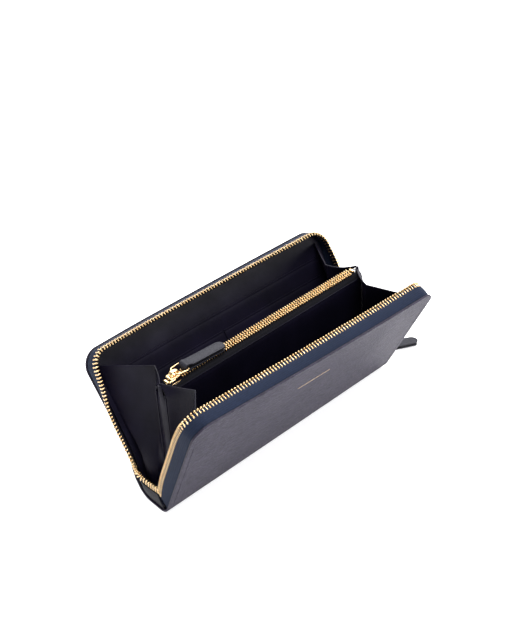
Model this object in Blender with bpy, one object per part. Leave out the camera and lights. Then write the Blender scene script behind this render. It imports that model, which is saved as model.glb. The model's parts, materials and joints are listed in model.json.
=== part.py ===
# Zip around wallet, standing open on its spine. Metres, +Z up.
# Origin: middle of the spine's flat underside. +X runs along the wallet, +Y towards the back cover.
import bpy
import bmesh
from math import cos, pi, radians, sin

LENGTH = 0.190           # along the spine
HEIGHT = 0.089           # hinge line to the top edge of a cover
SPINE_WIDTH = 0.025      # between the two hinge lines
HINGE_Z = 0.0035         # height of both hinge lines above the table
FRONT_LEAN = 22.0        # how far each cover leans outwards at rest, degrees
BACK_LEAN = 33.0
POCKET_LEAN = 3.0        # the coin pocket leans to the back, and both covers close on it
CORNER_R = 0.012         # top corners of the covers
GAP = 0.0003             # between pieces that touch

LEATHER = 0.0012         # thickness of the outer leather
BOARD = 0.0010
LINING = 0.0007
PANEL = 0.0006           # card slot and slip pocket panels
TAPE = 0.0007            # woven zip tape
WALL = 0.0008            # coin pocket walls
GUSSET = 0.0006

TAPE_DEPTH = 0.0074      # how far the main tape stands in from the cover
TAPE_INSET = 0.0012
LINING_INSET = 0.0026
CHAIN_INSET = 0.00045
CHAIN_THICK = 0.0022     # across the main teeth, through the tape
CHAIN_DEPTH = 0.0023     # along the main teeth, towards the other row
CHAIN_START = 0.004      # the straight rows start this far above the hinge line
STOP_LOW = 0.0015
STOP_HIGH = 0.0037
SLIP_TOP = 0.0706
SLIP_HALF = 0.088
PANEL_BOTTOM = 0.005
CARD_TOPS = (0.0590, 0.0473, 0.0356)
CARD_OUTER = 0.086
CARD_INNER = 0.0006      # half the gap between the two columns of card slots

SPINE_FLAT = 0.0095      # half the flat part of the spine's underside
SPINE_RIM = 0.0033       # height of the spine's two edges
SPINE_LINING_X = 0.092   # half sizes of the lining in the spine
SPINE_LINING_Y = 0.0092
ZIP_END_IN = 0.0934      # the tabs over the tape's ends, along X
ZIP_END_OUT = 0.0946
ZIP_END_Y = 0.009
ZIP_END_TOP = 0.004

POCKET_HALF = 0.081      # half the coin pocket's length
POCKET_Y = 0.0045        # half its thickness
WALL_TOP = 0.074
POCKET_BOTTOM = -0.0008
COIN_ROW_IN = 0.0008     # a coin zip row, across the chain
COIN_ROW_OUT = 0.0031
COIN_ROW_LOW = 0.0774
COIN_ROW_HIGH = 0.0794
COIN_FIRST = -0.072
COIN_LAST = 0.074
COIN_TAPE_HALF = 0.080
COIN_STOP_Y = 0.0026     # half a coin zip stop, across the chain
COIN_STOPS = {"left": (-0.0775, -0.0752), "right": (0.0744, 0.0764)}
COIN_SLIDER_X = -0.070
MAIN_SLIDER_UP = 0.0105  # above the hinge line, at the right end

GUSSET_COVER_X = 0.0896  # where the gussets are sewn to the covers and to the pocket's ends
GUSSET_COVER_Z = (0.008, 0.079)
GUSSET_POCKET_X = 0.0818
GUSSET_POCKET_Z = (0.006, 0.0795)
GUSSET_INWARDS = 0.0041  # sewn edge in from the cover's leather face
CREASE_FOOT = (0.0868, 0.0062, 0.0125)
CREASE_HEAD = {"front": (0.0700, -0.0135, 0.0815), "back": (0.0705, 0.0210, 0.0790)}

SLIDER_HALF = 0.0045     # half a slider's length
SLIDER_CLEAR = 0.00135   # chain's middle to the inside of a slider's plate
SLIDER_PLATE = 0.0012
SLIDER_NECK = 0.0004     # half the neck between the two plates
PIVOT_RISE = 0.0040      # slider's ring pivot above the middle of its chain
RING_BAR = 0.0006        # radius of the ring's wire
RING_WIDTH = 0.0096
RING_LENGTH = 0.0085     # between the middles of the ring's two cross bars
TAB_WIDTH = 0.0070
TAB_LENGTH = 0.0290      # from the loop's middle to the rounded tip
TAB_THICK = 0.0016
TAB_LOOP = 0.00095       # radius of the hole that the ring's far bar runs in
CORNER_STEPS = 8

for old in list(bpy.data.objects):
    bpy.data.objects.remove(old)


def material(name, colour, roughness, metallic=0.0):
    made = bpy.data.materials.new(name)
    made.use_nodes = True
    shader = made.node_tree.nodes["Principled BSDF"]
    shader.inputs["Base Color"].default_value = (*colour, 1.0)
    shader.inputs["Roughness"].default_value = roughness
    shader.inputs["Metallic"].default_value = metallic
    made.diffuse_color = (*colour, 1.0)
    return made


OUTER_LEATHER = material("outer_leather", (0.075, 0.073, 0.095), 0.55)
LINING_LEATHER = material("lining_leather", (0.030, 0.030, 0.044), 0.6)
POCKET_FABRIC = material("pocket_fabric", (0.016, 0.016, 0.024), 0.8)
STIFFENER = material("stiffener", (0.45, 0.42, 0.36), 0.9)
ZIP_TAPE = material("zip_tape", (0.022, 0.030, 0.075), 0.85)
GOLD = material("gold_metal", (0.80, 0.52, 0.22), 0.3, 1.0)


def frame(name, location, rotation):
    empty = bpy.data.objects.new(name, None)
    empty.location = location
    empty.rotation_euler = [radians(a) for a in rotation]
    bpy.context.scene.collection.objects.link(empty)
    return empty


def piece(name, mesh, finish, parent=None):
    mesh.materials.append(finish)
    made = bpy.data.objects.new(name, mesh)
    bpy.context.scene.collection.objects.link(made)
    made.parent = parent
    return made


# Which coordinates an outline's two numbers and its extrusion fill, by the axis it is pulled along.
ORDER = {"x": (1, 2, 0), "y": (0, 2, 1), "z": (0, 1, 2)}


def prism_mesh(name, outline, low, high, axis):
    """Closed solid: a flat outline pulled along one axis from low to high."""
    bm = bmesh.new()
    ring = []
    for first, second in outline:
        point = [0.0, 0.0, 0.0]
        for value, slot in zip((first, second, low), ORDER[axis]):
            point[slot] = value
        ring.append(bm.verts.new(point))
    start = bm.faces.new(ring)
    grown = bmesh.ops.extrude_face_region(bm, geom=[start])["geom"]
    shift = [0.0, 0.0, 0.0]
    shift[ORDER[axis][2]] = high - low
    bmesh.ops.translate(bm, vec=shift, verts=[g for g in grown if isinstance(g, bmesh.types.BMVert)])
    bmesh.ops.recalc_face_normals(bm, faces=bm.faces)
    mesh = bpy.data.meshes.new(name)
    bm.to_mesh(mesh)
    bm.free()
    return mesh


def prism(name, outline, low, high, axis, finish, parent=None):
    return piece(name, prism_mesh(name, outline, low, high, axis), finish, parent)


def box(name, a, b, c, finish, parent=None):
    """Rectangular piece between a's, b's and c's (low, high) values on X, Y and Z."""
    corners = [(a[0], c[0]), (a[1], c[0]), (a[1], c[1]), (a[0], c[1])]
    return prism(name, corners, b[0], b[1], "y", finish, parent)


def arc(centre, radius, start, end, steps):
    """Points on an arc; angles in degrees, radius a number or (across, up)."""
    across, up = radius if isinstance(radius, tuple) else (radius, radius)
    turns = [radians(start + (end - start) * i / steps) for i in range(steps + 1)]
    return [(centre[0] + across * cos(t), centre[1] + up * sin(t)) for t in turns]


def cover_edge(inset, bottom):
    """The cover's outline moved in by inset: up the left end, round both corners, down the right."""
    half = LENGTH / 2
    level = HEIGHT - CORNER_R
    left = arc((-half + CORNER_R, level), CORNER_R - inset, 180, 90, CORNER_STEPS)
    right = arc((half - CORNER_R, level), CORNER_R - inset, 90, 0, CORNER_STEPS)
    return [(-half + inset, bottom)] + left + right + [(half - inset, bottom)]


def rectangle(left, right, bottom, top):
    return [(left, bottom), (right, bottom), (right, top), (left, top)]


def cover(side, lean, turn, hinge_y):
    """One cover: leather, board, lining, pockets and its half of the main zip.
    In its own frame X runs along the hinge, Y inwards from the leather's face and Z up the cover."""
    base = frame(f"{side}_cover_frame", (0, hinge_y, HINGE_Z), (lean, 0, turn))
    prism(f"{side}_leather", cover_edge(0, 0.0006), 0, LEATHER, "y", OUTER_LEATHER, base)
    level = LEATHER + GAP
    tape_low = level
    prism(f"{side}_board", cover_edge(LINING_INSET, STOP_LOW), level, level + BOARD, "y", STIFFENER, base)
    level += BOARD + GAP
    prism(f"{side}_lining", cover_edge(LINING_INSET, STOP_LOW), level, level + LINING, "y",
          LINING_LEATHER, base)
    level += LINING + GAP
    slip = rectangle(-SLIP_HALF, SLIP_HALF, PANEL_BOTTOM, SLIP_TOP)
    prism(f"{side}_slip_panel", slip, level, level + PANEL, "y", LINING_LEATHER, base)
    for row, top in enumerate(CARD_TOPS, start=1):
        level += PANEL + GAP
        for column, sign in (("left", -1), ("right", 1)):
            local = sign if turn == 0 else -sign      # the back cover's frame is turned round
            ends = sorted((local * CARD_INNER, local * CARD_OUTER))
            prism(f"{side}_card_slot_{column}_{row}", rectangle(*ends, PANEL_BOTTOM, top),
                  level, level + PANEL, "y", LINING_LEATHER, base)
    tape_high = tape_low + TAPE_DEPTH
    band = cover_edge(TAPE_INSET, CHAIN_START) + cover_edge(TAPE_INSET + TAPE, CHAIN_START)[::-1]
    prism(f"{side}_tape", band, tape_low, tape_high, "y", ZIP_TAPE, base)
    chain_low = tape_high + GAP
    chain_high = chain_low + CHAIN_DEPTH
    band = (cover_edge(CHAIN_INSET, CHAIN_START)
            + cover_edge(CHAIN_INSET + CHAIN_THICK, CHAIN_START)[::-1])
    prism(f"{side}_chain", band, chain_low, chain_high, "y", GOLD, base)
    middle = LENGTH / 2 - CHAIN_INSET - CHAIN_THICK / 2
    for column, sign in (("left", -1), ("right", 1)):
        local = sign if turn == 0 else -sign
        ends = sorted((local * (middle - CHAIN_THICK / 2), local * (middle + CHAIN_THICK / 2)))
        box(f"{side}_stop_{column}", ends, (chain_low, chain_high), (STOP_LOW, STOP_HIGH), GOLD, base)


def spine():
    """Shallow channel that joins the covers, its lining, and the tabs over the tape's ends."""
    flat, rim = SPINE_FLAT, SPINE_RIM
    reach = SPINE_WIDTH / 2 - flat
    outer = (arc((-flat, rim), (reach, rim), 180, 270, 5) + arc((flat, rim), (reach, rim), 270, 360, 5))
    inside = (reach - LEATHER, rim - LEATHER)
    inner = arc((-flat, rim), inside, 180, 270, 5) + arc((flat, rim), inside, 270, 360, 5)
    prism("spine_leather", outer + inner[::-1], -LENGTH / 2, LENGTH / 2, "x", OUTER_LEATHER)
    floor = LEATHER + GAP
    box("spine_lining", (-SPINE_LINING_X, SPINE_LINING_X), (-SPINE_LINING_Y, SPINE_LINING_Y),
        (floor, floor + LINING), LINING_LEATHER)
    for column, sign in (("left", -1), ("right", 1)):
        box(f"zip_end_{column}", sorted((sign * ZIP_END_IN, sign * ZIP_END_OUT)), (-ZIP_END_Y, ZIP_END_Y),
            (floor, ZIP_END_TOP), LINING_LEATHER)


def coin_pocket(base):
    """Zipped pocket that stands on the spine between the covers."""
    inside = POCKET_Y - WALL
    for side, sign in (("front", -1), ("back", 1)):
        box(f"coin_wall_{side}", (-POCKET_HALF, POCKET_HALF), sorted((sign * inside, sign * POCKET_Y)),
            (POCKET_BOTTOM, WALL_TOP), LINING_LEATHER, base)
        low = WALL_TOP + GAP
        high = COIN_ROW_LOW - GAP
        slope = [(POCKET_Y, low), (POCKET_Y - PANEL, low), (COIN_ROW_OUT - PANEL, high), (COIN_ROW_OUT, high)]
        prism(f"coin_tape_{side}", [(sign * y, w) for y, w in slope], -COIN_TAPE_HALF, COIN_TAPE_HALF, "x",
              ZIP_TAPE, base)
        box(f"coin_chain_{side}", (COIN_FIRST, COIN_LAST), sorted((sign * COIN_ROW_IN, sign * COIN_ROW_OUT)),
            (COIN_ROW_LOW, COIN_ROW_HIGH), GOLD, base)
    across = (GAP - inside, inside - GAP)
    box("coin_base", (-POCKET_HALF, POCKET_HALF), across, (POCKET_BOTTOM, 0), POCKET_FABRIC, base)
    for column, sign in (("left", -1), ("right", 1)):
        box(f"coin_end_{column}", sorted((sign * (POCKET_HALF - WALL), sign * POCKET_HALF)), across,
            (GAP, WALL_TOP), POCKET_FABRIC, base)
    for column, ends in COIN_STOPS.items():
        box(f"coin_stop_{column}", ends, (-COIN_STOP_Y, COIN_STOP_Y), (COIN_ROW_LOW, COIN_ROW_HIGH),
            GOLD, base)


def cover_line(side, along, low, high):
    """Two points on a cover's lining, where a gusset is sewn, low and high up the cover."""
    lean = radians(FRONT_LEAN if side == "front" else BACK_LEAN)
    way = -1 if side == "front" else 1
    inwards = GUSSET_INWARDS
    points = []
    for up in (low, high):
        y = way * (SPINE_WIDTH / 2 + up * sin(lean) - inwards * cos(lean))
        points.append((along, y, HINGE_Z + up * cos(lean) + inwards * sin(lean)))
    return points


def gusset(side, column, sign):
    """Pleat between a cover and the pocket's end, folded in towards the middle at its crease."""
    way = -1 if side == "front" else 1
    from_cover = cover_line(side, sign * GUSSET_COVER_X, *GUSSET_COVER_Z)
    foot, head = CREASE_FOOT, CREASE_HEAD[side]
    crease = [(sign * foot[0], way * foot[1], foot[2]), (sign * head[0], head[1], head[2])]
    lean = radians(POCKET_LEAN)
    beside = way * (POCKET_Y + WALL)
    at_pocket = [(sign * GUSSET_POCKET_X, up * sin(lean) + beside, HINGE_Z + up * cos(lean))
                 for up in GUSSET_POCKET_Z]
    rows = [(line[0], line[1]) for line in (from_cover, crease, at_pocket)]
    mesh = bpy.data.meshes.new(f"gusset_{column}_{side}")
    corners = [point for line in rows for point in line]
    mesh.from_pydata(corners, [], [(0, 1, 3), (0, 3, 2), (2, 3, 5), (2, 5, 4)])
    made = piece(mesh.name, mesh, LINING_LEATHER)
    wall = made.modifiers.new("thickness", "SOLIDIFY")
    wall.thickness = GUSSET
    wall.offset = 0
    made.modifiers.new("flat_faces", "TRIANGULATE")
    return made


def ring_mesh(name):
    """Rectangular wire ring with round corners. Its first cross bar lies on the origin, along Y."""
    bend = 0.0012
    half = RING_WIDTH / 2 - RING_BAR
    route = (arc((bend, half - bend), bend, 180, 90, 4)
             + arc((RING_LENGTH - bend, half - bend), bend, 90, 0, 4)
             + arc((RING_LENGTH - bend, bend - half), bend, 0, -90, 4)
             + arc((bend, bend - half), bend, -90, -180, 4))
    bm = bmesh.new()
    count = len(route)
    sides = 8
    loops = []
    for i, (x, y) in enumerate(route):
        before, after = route[i - 1], route[(i + 1) % count]
        run = (after[0] - before[0], after[1] - before[1])
        size = (run[0] ** 2 + run[1] ** 2) ** 0.5
        out = (run[1] / size, -run[0] / size)
        turns = [2 * pi * (k + 0.5) / sides for k in range(sides)]
        loops.append([bm.verts.new((x + RING_BAR * cos(t) * out[0], y + RING_BAR * cos(t) * out[1],
                                    RING_BAR * sin(t))) for t in turns])
    for i in range(count):
        for k in range(sides):
            a, b = loops[i], loops[(i + 1) % count]
            bm.faces.new((a[k], a[(k + 1) % sides], b[(k + 1) % sides], b[k]))
    bmesh.ops.recalc_face_normals(bm, faces=bm.faces)
    mesh = bpy.data.meshes.new(name)
    bm.to_mesh(mesh)
    bm.free()
    mesh.shade_smooth()
    return mesh


def tab_mesh(name):
    """Leather tab folded round the ring's far bar. The loop's hole is centred on the origin."""
    half = TAB_THICK / 2
    outside = TAB_LOOP + 0.0008
    start = 0.0030
    profile = (arc((0, 0), outside, 62, 298, 12) + [(start, -half), (TAB_LENGTH, -half),
               (TAB_LENGTH, half), (start, half)])
    solid = bpy.data.objects.new(name, prism_mesh(name, profile, -TAB_WIDTH / 2, TAB_WIDTH / 2, "y"))
    hole = bpy.data.objects.new(name + "_hole", prism_mesh(
        name + "_hole", arc((0, 0), TAB_LOOP, 0, 337.5, 15), -TAB_WIDTH, TAB_WIDTH, "y"))
    round_tip = TAB_WIDTH / 2
    narrow = RING_WIDTH / 2 - 2 * RING_BAR - 0.0005      # inside the ring's side arms
    low_edge = [(-0.01, -narrow), (0.0008, -narrow), (0.0028, -round_tip)]
    plan = (low_edge + arc((TAB_LENGTH - round_tip, 0), round_tip, -90, 90, 10)
            + [(x, -y) for x, y in low_edge[::-1]])
    trim = bpy.data.objects.new(name + "_trim", prism_mesh(name + "_trim", plan, -0.01, 0.01, "z"))
    return combine(solid, [(hole, "DIFFERENCE"), (trim, "INTERSECT")])


def combine(solid, cuts):
    """Applies Boolean steps to a loose object and gives back the finished mesh."""
    scene = bpy.context.scene.collection.objects
    scene.link(solid)
    for cutter, operation in cuts:
        scene.link(cutter)
        step = solid.modifiers.new("cut", "BOOLEAN")
        step.operation = operation
        step.object = cutter
        step.solver = "EXACT"
    bpy.context.view_layer.update()
    evaluated = solid.evaluated_get(bpy.context.evaluated_depsgraph_get())
    mesh = bpy.data.meshes.new_from_object(evaluated)
    mesh.name = solid.name
    for used in [solid] + [c for c, _ in cuts]:
        bpy.data.objects.remove(used)
    return mesh


def slider_mesh(name, upper_half, inner_half, flanged):
    """Slider in its own frame: X along the closing direction, Z out of the chain, Y across it.
    Two plates clasp the chain, a neck joins them, and a bridge on top carries the ring."""
    clear, neck = SLIDER_CLEAR, SLIDER_NECK
    top = clear + SLIDER_PLATE
    half_length = SLIDER_HALF
    lip, drop = 0.00045, 0.0007      # flange on a plate's edge
    worn = 0.0003                    # corners taken off
    right = [(neck, clear)]
    if flanged:
        right += [(upper_half - lip, clear), (upper_half - lip, clear - drop), (upper_half, clear - drop)]
    else:
        right += [(upper_half, clear)]
    right += [(upper_half, top - worn), (upper_half - worn, top)]
    lower = [(inner_half, -top), (inner_half, -clear), (neck, -clear)]
    outline = lower + right + [(-y, z) for y, z in right[::-1]] + [(-y, z) for y, z in lower[::-1]]
    body = bpy.data.objects.new(name, prism_mesh(name, outline, -half_length, half_length, "x"))
    one_side = [(-half_length, upper_half * 0.80), (-half_length + 0.0015, upper_half),
                (half_length - 0.0035, upper_half), (half_length, upper_half * 0.72)]
    taper = [(x, -y) for x, y in one_side] + one_side[::-1]
    plan = bpy.data.objects.new(name + "_plan", prism_mesh(name + "_plan", taper, -0.01, 0.01, "z"))
    crown = PIVOT_RISE + 0.0018
    foot, shoulder, flat = 0.0032, 0.0022, 0.0012      # half lengths of the bridge, from the plate up
    rise = [(foot, top - 0.0004), (foot, top + 0.0012), (shoulder, crown - worn), (flat, crown)]
    side = [(-x, z) for x, z in rise] + rise[::-1]
    wide, narrow = 0.0016, 0.0010                      # half lengths of the eye under it
    half_eye = [(wide, top + worn), (wide, crown - 0.0012), (narrow, crown - 0.0008)]
    eye = [(-x, z) for x, z in half_eye] + half_eye[::-1]
    across = 0.0011
    bridge = bpy.data.objects.new(name + "_bridge", prism_mesh(name + "_bridge", side, -across, across, "y"))
    slot = bpy.data.objects.new(name + "_eye", prism_mesh(name + "_eye", eye, -0.01, 0.01, "y"))
    return combine(body, [(plan, "INTERSECT"), (bridge, "UNION"), (slot, "DIFFERENCE")])


def slider_set(label, parent, location, turn, pull_angle, tab_angle, aside, swing, halves, flanged):
    """A slider with its ring and leather tab, each in a frame whose Y is its joint's axis."""
    base = frame(f"{label}_slider_frame", location, (0, turn, 0))
    base.parent = parent
    piece(f"{label}_slider", slider_mesh(f"{label}_slider", *halves, flanged), GOLD, base)
    hook = frame(f"{label}_hook_frame", (0, 0, PIVOT_RISE), (swing, 0, 0))
    hook.parent = base
    pivot = frame(f"{label}_ring_frame", (0, 0, 0), (0, pull_angle, 0))
    pivot.parent = hook
    ring = piece(f"{label}_pull_ring", ring_mesh(f"{label}_pull_ring"), GOLD, pivot)
    ring.location.y = aside      # the ring hangs off centre in the bridge
    hang = frame(f"{label}_tab_frame", (RING_LENGTH, aside, 0), (0, tab_angle, 0))
    hang.parent = pivot
    piece(f"{label}_pull_tab", tab_mesh(f"{label}_pull_tab"), OUTER_LEATHER, hang)


spine()
cover("front", FRONT_LEAN, 0, -SPINE_WIDTH / 2)
cover("back", BACK_LEAN, 180, SPINE_WIDTH / 2)
middle_frame = frame("middle_frame", (0, 0, HINGE_Z), (-POCKET_LEAN, 0, 0))
coin_pocket(middle_frame)
for end_name, end_sign in (("left", -1), ("right", 1)):
    gusset("front", end_name, end_sign)
    gusset("back", end_name, end_sign)

coin_mid = (COIN_ROW_LOW + COIN_ROW_HIGH) / 2
main_mid = LENGTH / 2 - CHAIN_INSET - CHAIN_THICK / 2
slider_set("coin", middle_frame, (COIN_SLIDER_X, 0, coin_mid), 0, 2.0, 1.2, 0.0, 0.0,
           (0.0039, 0.0021), True)
slider_set("main", middle_frame, (main_mid, 0, MAIN_SLIDER_UP), 90, -40.0, -37.5, -0.0018, 12.0,
           (0.0039, 0.0030), False)
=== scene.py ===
import bpy
import json
from math import atan2, cos, pi, radians, sin, sqrt
from mathutils import Matrix, Vector

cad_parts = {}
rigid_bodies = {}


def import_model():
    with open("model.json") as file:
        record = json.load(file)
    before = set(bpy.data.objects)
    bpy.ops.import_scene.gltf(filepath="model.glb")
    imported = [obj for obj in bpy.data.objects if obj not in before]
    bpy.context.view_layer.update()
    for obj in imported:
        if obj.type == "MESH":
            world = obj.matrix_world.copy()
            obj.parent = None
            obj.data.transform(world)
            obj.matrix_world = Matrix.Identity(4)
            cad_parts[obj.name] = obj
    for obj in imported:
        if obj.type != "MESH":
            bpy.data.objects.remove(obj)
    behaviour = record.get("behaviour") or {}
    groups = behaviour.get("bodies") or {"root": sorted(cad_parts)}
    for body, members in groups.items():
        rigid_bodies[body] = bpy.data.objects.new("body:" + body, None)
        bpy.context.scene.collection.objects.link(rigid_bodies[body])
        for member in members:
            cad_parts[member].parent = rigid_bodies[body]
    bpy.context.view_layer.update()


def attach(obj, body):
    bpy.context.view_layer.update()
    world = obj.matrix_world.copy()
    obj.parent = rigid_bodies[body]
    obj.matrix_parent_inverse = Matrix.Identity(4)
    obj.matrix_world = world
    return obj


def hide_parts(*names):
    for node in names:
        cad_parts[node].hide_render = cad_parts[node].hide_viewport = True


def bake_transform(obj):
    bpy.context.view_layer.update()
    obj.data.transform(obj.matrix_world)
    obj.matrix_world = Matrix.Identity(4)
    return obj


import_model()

# Sizes are in millimetres here, and a mesh is scaled to metres as its points are placed.
mm = 0.001
way = {"front": -1.0, "back": 1.0}      # which side of the wallet's middle a cover is on
wallet = {
    "half": 95.0, "height": 89.0, "cornerRadius": 12.0,
    "spineHalf": 12.5, "hingeRise": 3.5, "turnStart": 2.0,
    "lean": {"front": 22.0, "back": 33.0}, "twist": {"front": 4.0, "back": -4.5},
    "pocketLean": 3.0,
}


def clearSelection():
    for thing in bpy.context.view_layer.objects:
        thing.select_set(False)


def pick(thing):
    clearSelection()
    thing.select_set(True)
    bpy.context.view_layer.objects.active = thing


def bakeModifiers(thing):
    pick(thing)
    for modifier in list(thing.modifiers):
        bpy.ops.object.modifier_apply(modifier=modifier.name)


def inEditMode(thing, *steps):
    pick(thing)
    bpy.ops.object.mode_set(mode="EDIT")
    bpy.ops.mesh.select_all(action="SELECT")
    for step in steps:
        step()
    bpy.ops.object.mode_set(mode="OBJECT")


def faceOut(thing):
    inEditMode(thing, lambda: bpy.ops.mesh.remove_doubles(threshold=1e-6),
               lambda: bpy.ops.mesh.normals_make_consistent(inside=False))


def joinAll(name, things):
    clearSelection()
    for thing in things:
        thing.select_set(True)
    bpy.context.view_layer.objects.active = things[0]
    bpy.ops.object.join()
    things[0].name = name
    things[0].data.name = name
    return things[0]


def smooth(thing, angle=40):
    pick(thing)
    bpy.ops.object.shade_smooth_by_angle(angle=radians(angle))


def ramp(value, low, high):
    t = min(1.0, max(0.0, (value - low) / (high - low)))
    return t * t * (3 - 2 * t)


def mix(a, b, t):
    return a + (b - a) * t


def spread(low, high, count):
    return [low + (high - low) * i / count for i in range(count + 1)]


def leanAt(side, u):
    return radians(wallet["lean"][side] + wallet["twist"][side] * u / (2 * wallet["half"]))


def swell(side, u, v):
    # The covers are soft: they bow out a little, and one corner of the back cover curls in.
    middle = (1 - (u / wallet["half"]) ** 2) * ramp(v, 0, wallet["height"])
    if side == "front":
        return -0.8 * middle
    pulled = 3.6 * ramp(v, 42, 88) + 5.0 * ramp(v, 6, 24) * (1 - ramp(v, 48, 84))
    return -2.0 * middle + pulled * ramp(-u, 45, 95)


def coverPoint(side, u, n, v):
    # u along the wallet, n inwards from the leather's face, v up the cover from its hinge line
    a = leanAt(side, u)
    n += swell(side, u, v)
    y = wallet["spineHalf"] + v * sin(a) - n * cos(a)
    return Vector((u, way[side] * y, wallet["hingeRise"] + v * cos(a) + n * sin(a)))


def foldPoint(side, u, n, p):
    # One line from the spine's middle (p -2) round the turn (-1 to 0) and up the cover (p in mm)
    start = wallet["turnStart"]
    if p >= 0:
        return coverPoint(side, u, n, start + p)
    a = leanAt(side, u)
    top = pi / 2 - a
    radius = (wallet["hingeRise"] + start * cos(a)) / (1 - cos(top))
    flat = wallet["spineHalf"] + start * sin(a) - radius * sin(top)
    if p < -1:
        return Vector((u, way[side] * flat * (p + 2), n))
    turn = top * (1 + p)
    y = flat + (radius - n) * sin(turn)
    return Vector((u, way[side] * y, radius * (1 - cos(turn)) + n * cos(turn)))


def pocketPoint(x, y, w):
    # The coin pocket's own frame, leaning back from the hinge height
    a = radians(wallet["pocketLean"])
    return Vector((x, y * cos(a) + w * sin(a), wallet["hingeRise"] - y * sin(a) + w * cos(a)))


def gridPiece(name, columns, rows, place, flip=False):
    # A flat grid whose points are then drawn out to their places
    clearSelection()
    across, along = len(columns) - 1, len(rows) - 1
    bpy.ops.mesh.primitive_grid_add(x_subdivisions=across, y_subdivisions=along, size=1.0)
    made = bpy.context.active_object
    made.name = name
    made.data.name = name
    spots = [(columns[round((v.co.x + 0.5) * across)], rows[round((v.co.y + 0.5) * along)])
             for v in made.data.vertices]
    uvs = made.data.uv_layers.active.data
    for loop in made.data.loops:
        uvs[loop.index].uv = spots[loop.vertex_index]
    for vertex, spot in zip(made.data.vertices, spots):
        vertex.co = place(*spot) * mm
    if flip:
        inEditMode(made, bpy.ops.mesh.flip_normals)
    return made


def thicken(thing, thickness, rim=0.0, segments=2):
    wall = thing.modifiers.new("thickness", "SOLIDIFY")
    wall.thickness = thickness * mm
    wall.offset = -1
    wall.use_even_offset = True
    if rim:
        edge = thing.modifiers.new("rim", "BEVEL")
        edge.width = rim * mm
        edge.segments = segments
        edge.limit_method = "ANGLE"
        edge.angle_limit = radians(50)
    bakeModifiers(thing)
    return thing


def finish(thing, material, body=None, nodes=()):
    thing.data.materials.clear()
    thing.data.materials.append(material)
    if body:
        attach(thing, body)
    if nodes:
        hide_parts(*nodes)
    return thing


def blendOn(thing, side, low, high):
    # Bakes the piece's place into its mesh; the cover points just above its hinge line and a little way up
    # it are worked out but not used
    tuple(coverPoint(side, 0, 1.5, low) * mm)
    tuple(coverPoint(side, 0, 1.5, high) * mm)
    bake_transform(thing)


# Materials. Patterns are sized in metres on Object coordinates, or in millimetres on the UV map.

def shaderFor(name, colour, roughness, metallic=0.0):
    made = bpy.data.materials.new(name)
    made.use_nodes = True
    shader = made.node_tree.nodes["Principled BSDF"]
    shader.inputs["Base Color"].default_value = (*colour, 1.0)
    shader.inputs["Roughness"].default_value = roughness
    shader.inputs["Metallic"].default_value = metallic
    made.diffuse_color = (*colour, 1.0)
    return made, made.node_tree, shader


def addNode(tree, kind, sockets=None, **settings):
    made = tree.nodes.new(kind)
    for key, value in settings.items():
        setattr(made, key, value)
    for key, value in (sockets or {}).items():
        if isinstance(value, bpy.types.NodeSocket):
            tree.links.new(value, made.inputs[key])
        else:
            made.inputs[key].default_value = value
    return made


def shades(tree, factor, stops):
    made = addNode(tree, "ShaderNodeValToRGB", {"Fac": factor})
    while len(made.color_ramp.elements) < len(stops):
        made.color_ramp.elements.new(0.5)
    for element, (position, colour) in zip(made.color_ramp.elements, stops):
        element.position = position
        element.color = (*colour, 1.0)
    return made.outputs["Color"]


def levels(tree, factor, low, high, outLow=0.0, outHigh=1.0):
    made = addNode(tree, "ShaderNodeMapRange", {"Value": factor, "From Min": low, "From Max": high,
                                                "To Min": outLow, "To Max": outHigh})
    return made.outputs["Result"]


def maths(tree, operation, a, b=0.0):
    made = addNode(tree, "ShaderNodeMath", {0: a, 1: b}, operation=operation)
    return made.outputs[0]


def noise(tree, vector, scale, detail=2.0, roughness=0.5):
    made = addNode(tree, "ShaderNodeTexNoise", {"Vector": vector, "Scale": scale, "Detail": detail,
                                                "Roughness": roughness})
    return made.outputs["Fac"]


def stretched(tree, vector, turn, longer):
    made = addNode(tree, "ShaderNodeMapping", {"Vector": vector, "Rotation": turn, "Scale": longer},
                   vector_type="TEXTURE")
    return made.outputs["Vector"]


def raised(tree, shader, height, strength, distance):
    made = addNode(tree, "ShaderNodeBump", {"Height": height, "Strength": strength, "Distance": distance})
    tree.links.new(made.outputs["Normal"], shader.inputs["Normal"])


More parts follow.
